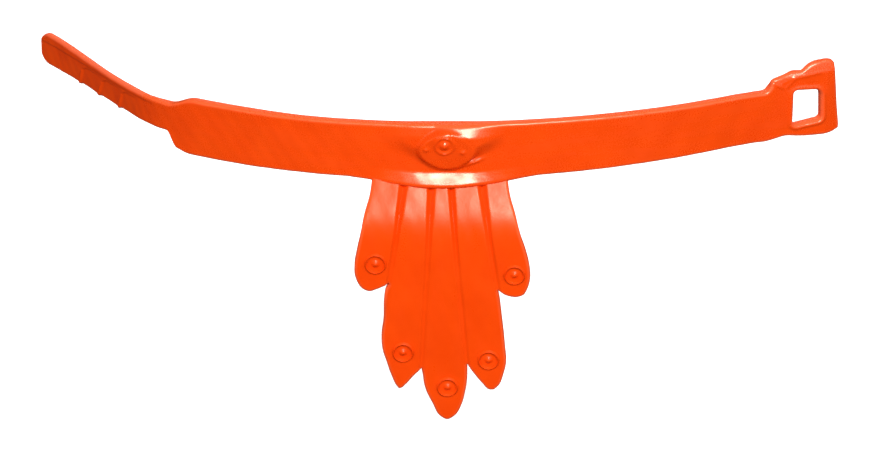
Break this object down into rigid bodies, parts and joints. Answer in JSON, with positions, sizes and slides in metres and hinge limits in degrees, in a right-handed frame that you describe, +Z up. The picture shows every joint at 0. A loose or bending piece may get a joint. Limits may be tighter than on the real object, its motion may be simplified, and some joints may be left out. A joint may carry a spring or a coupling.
{
  "type": "toy figure belt with strip skirt",
  "caption": "Curled soft vinyl belt for an action figure, with an oval boss, a skirt of pointed studded strips, a windowed buckle and a ridged tongue.",
  "frame": {"origin": "on the centre plate's flat back face, half way across the strap's nominal height", "axes": "+Z up, +X towards the buckle end, fronts face -Y, the strap curls towards +Y"},
  "size_m": [0.1102, 0.0384, 0.0457],
  "materials": {
    "strap_vinyl": "satin",
    "skirt_vinyl": "satin",
    "tongue_vinyl": "satin",
    "buckle_vinyl": "satin",
    "stud_vinyl": "gloss"
  },
  "bodies": {
    "centre": {"centre_plate": "strap_vinyl", "flared_lip": "strap_vinyl", "medallion": "stud_vinyl", "medallion_stud": "stud_vinyl"},
    "right_1": {"right_strap_1": "strap_vinyl"},
    "right_2": {"right_strap_2": "strap_vinyl"},
    "right_3": {"right_strap_3": "strap_vinyl"},
    "right_4": {"right_strap_4": "strap_vinyl"},
    "buckle": {"buckle_frame": "buckle_vinyl", "buckle_ear": "buckle_vinyl"},
    "left_1": {"left_strap_1": "strap_vinyl"},
    "left_2": {"left_strap_2": "strap_vinyl"},
    "shoulder": {"left_strap_shoulder": "strap_vinyl"},
    "tongue_root": {"tongue_root": "tongue_vinyl"},
    "tongue_middle": {"tongue_middle": "tongue_vinyl", "tongue_ridges": "tongue_vinyl"},
    "tongue_tip": {"tongue_tip": "tongue_vinyl"},
    "skirt_top": {"skirt_root": "skirt_vinyl", "left_inner_strip_upper": "skirt_vinyl", "centre_strip_upper": "skirt_vinyl", "right_inner_strip_upper": "skirt_vinyl", "left_web_upper": "skirt_vinyl", "right_web_upper": "skirt_vinyl"},
    "skirt_bottom": {"left_inner_strip_lower": "skirt_vinyl", "centre_strip_lower": "skirt_vinyl", "right_inner_strip_lower": "skirt_vinyl", "left_web_lower": "skirt_vinyl", "right_web_lower": "skirt_vinyl", "left_inner_stud": "stud_vinyl", "right_inner_stud": "stud_vinyl"},
    "centre_tip": {"centre_strip_tip": "skirt_vinyl", "centre_stud": "stud_vinyl"},
    "left_flap": {"left_outer_strip": "skirt_vinyl", "left_fold_bead": "skirt_vinyl", "left_outer_stud": "stud_vinyl"},
    "right_flap": {"right_outer_strip": "skirt_vinyl", "right_fold_bead": "skirt_vinyl", "right_outer_stud": "stud_vinyl"}
  },
  "joints": [
    {"name": "waist_curl", "type": "hinge", "parent": "centre", "child": "right_1", "pos_m": [0.0076, -0.00072, 0], "axis": [0, 0, 1], "range_deg": [-6, 24]},
    {"name": "curl_right_2", "type": "hinge", "parent": "right_1", "child": "right_2", "pos_m": [0.01641, 0.00051, 0], "axis": [0, 0, 1], "range_deg": [-6, 24]},
    {"name": "curl_right_3", "type": "hinge", "parent": "right_2", "child": "right_3", "pos_m": [0.02518, 0.00254, 0], "axis": [0, 0, 1], "range_deg": [-6, 24]},
    {"name": "curl_right_4", "type": "hinge", "parent": "right_3", "child": "right_4", "pos_m": [0.03367, 0.00554, 0], "axis": [0, 0, 1], "range_deg": [-6, 24]},
    {"name": "buckle_flex", "type": "hinge", "parent": "right_4", "child": "buckle", "pos_m": [0.04182, 0.00935, 0], "axis": [0, 0, 1], "range_deg": [-8, 28]},
    {"name": "curl_left_1", "type": "hinge", "parent": "centre", "child": "left_1", "pos_m": [-0.0072, -0.00072, 0], "axis": [0, 0, -1], "range_deg": [-6, 24]},
    {"name": "curl_left_2", "type": "hinge", "parent": "left_1", "child": "left_2", "pos_m": [-0.01641, 0.00057, 0], "axis": [0, 0, -1], "range_deg": [-6, 24]},
    {"name": "curl_shoulder", "type": "hinge", "parent": "left_2", "child": "shoulder", "pos_m": [-0.02556, 0.00311, 0], "axis": [0, 0, -1], "range_deg": [-6, 24]},
    {"name": "bend_tongue_root", "type": "hinge", "parent": "shoulder", "child": "tongue_root", "pos_m": [-0.03709, 0.00819, 0], "axis": [0, 0, -1], "range_deg": [-4, 6.4]},
    {"name": "tongue_bend", "type": "hinge", "parent": "tongue_root", "child": "tongue_middle", "pos_m": [-0.04251, 0.01421, 0], "axis": [0, 0, -1], "range_deg": [-10, 16]},
    {"name": "bend_tongue_tip", "type": "hinge", "parent": "tongue_middle", "child": "tongue_tip", "pos_m": [-0.05068, 0.02546, 0], "axis": [0, 0, -1], "range_deg": [-12, 19.2]},
    {"name": "skirt_swing", "type": "hinge", "parent": "centre", "child": "skirt_top", "pos_m": [0, -0.0015, -0.00525], "axis": [-1, 0, 0], "range_deg": [-14, 40]},
    {"name": "skirt_bend", "type": "hinge", "parent": "skirt_top", "child": "skirt_bottom", "pos_m": [0, -0.00471, -0.0186], "axis": [-1, 0, 0], "range_deg": [-30, 30]},
    {"name": "centre_tip_flex", "type": "hinge", "parent": "skirt_bottom", "child": "centre_tip", "pos_m": [0, -0.00471, -0.0304], "axis": [-1, 0, 0], "range_deg": [-30, 30]},
    {"name": "left_flap_fold", "type": "hinge", "parent": "skirt_top", "child": "left_flap", "pos_m": [-0.00711, -0.00471, -0.0159], "axis": [-0.1331, 0, -0.9911], "range_deg": [-6, 24]},
    {"name": "right_flap_fold", "type": "hinge", "parent": "skirt_top", "child": "right_flap", "pos_m": [0.00684, -0.00471, -0.0159], "axis": [-0.1313, 0, 0.9913], "range_deg": [-6, 24]}
  ],
  "couplings": [
    {"joint": "curl_right_2", "follows": "waist_curl", "ratio": 1},
    {"joint": "curl_right_3", "follows": "waist_curl", "ratio": 1},
    {"joint": "curl_right_4", "follows": "waist_curl", "ratio": 1},
    {"joint": "curl_left_1", "follows": "waist_curl", "ratio": 1},
    {"joint": "curl_left_2", "follows": "waist_curl", "ratio": 1},
    {"joint": "curl_shoulder", "follows": "waist_curl", "ratio": 1},
    {"joint": "left_flap_fold", "follows": "waist_curl", "ratio": 1},
    {"joint": "right_flap_fold", "follows": "waist_curl", "ratio": 1},
    {"joint": "bend_tongue_root", "follows": "tongue_bend", "ratio": 0.4},
    {"joint": "bend_tongue_tip", "follows": "tongue_bend", "ratio": 1.2}
  ]
}
